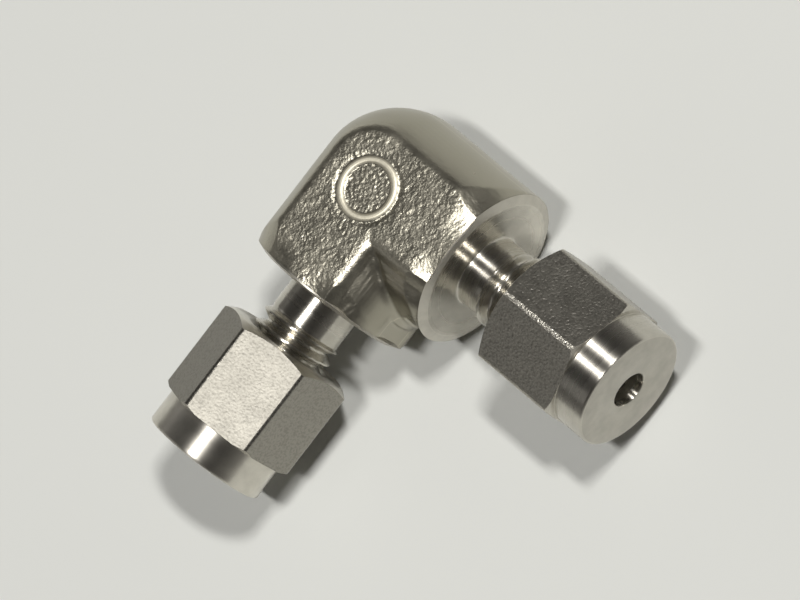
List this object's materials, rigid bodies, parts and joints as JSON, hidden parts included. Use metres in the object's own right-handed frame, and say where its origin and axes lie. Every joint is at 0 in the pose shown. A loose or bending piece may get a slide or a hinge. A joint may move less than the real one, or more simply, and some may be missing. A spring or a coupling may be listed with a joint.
{
  "type": "union elbow",
  "caption": "Right-angle union for small tube: a forged elbow body with a threaded neck on each arm, and a hexagon nut over a front and a back ferrule on each neck.",
  "frame": {"origin": "where the axes of the two tube ports cross, midway between the body's forged flats", "axes": "+X runs out along the right port's axis, -Y out along the left port's axis, and +Z out of the flat that carries the raised ring"},
  "size_m": [0.0345, 0.0345, 0.0141],
  "materials": {
    "forged_body": "forged skin with turned and polished necks",
    "nut": "satin, with a turned collar",
    "ferrule": "turned bright"
  },
  "bodies": {
    "elbow": {"elbow_body": "forged_body"},
    "right_ferrules": {"right_front_ferrule": "ferrule", "right_back_ferrule": "ferrule"},
    "right_nut": {"right_nut": "nut"},
    "left_ferrules": {"left_front_ferrule": "ferrule", "left_back_ferrule": "ferrule"},
    "left_nut": {"left_nut": "nut"}
  },
  "joints": [
    {"name": "right_nut_travel", "type": "slide", "parent": "elbow", "child": "right_ferrules", "axis": [1, 0, 0], "range_m": [0, 0.00572]},
    {"name": "right_nut_screw", "type": "hinge", "parent": "right_ferrules", "child": "right_nut", "pos_m": [0.02, 0, 0], "axis": [1, 0, 0], "range_deg": [0, 1620]},
    {"name": "left_nut_travel", "type": "slide", "parent": "elbow", "child": "left_ferrules", "axis": [0, -1, 0], "range_m": [0, 0.00572]},
    {"name": "left_nut_screw", "type": "hinge", "parent": "left_ferrules", "child": "left_nut", "pos_m": [0, -0.02, 0], "axis": [0, -1, 0], "range_deg": [0, 1620]}
  ],
  "couplings": [
    {"joint": "right_nut_travel", "follows": "right_nut_screw", "m_per_rad": 0.00020213},
    {"joint": "left_nut_travel", "follows": "left_nut_screw", "m_per_rad": 0.00020213}
  ]
}
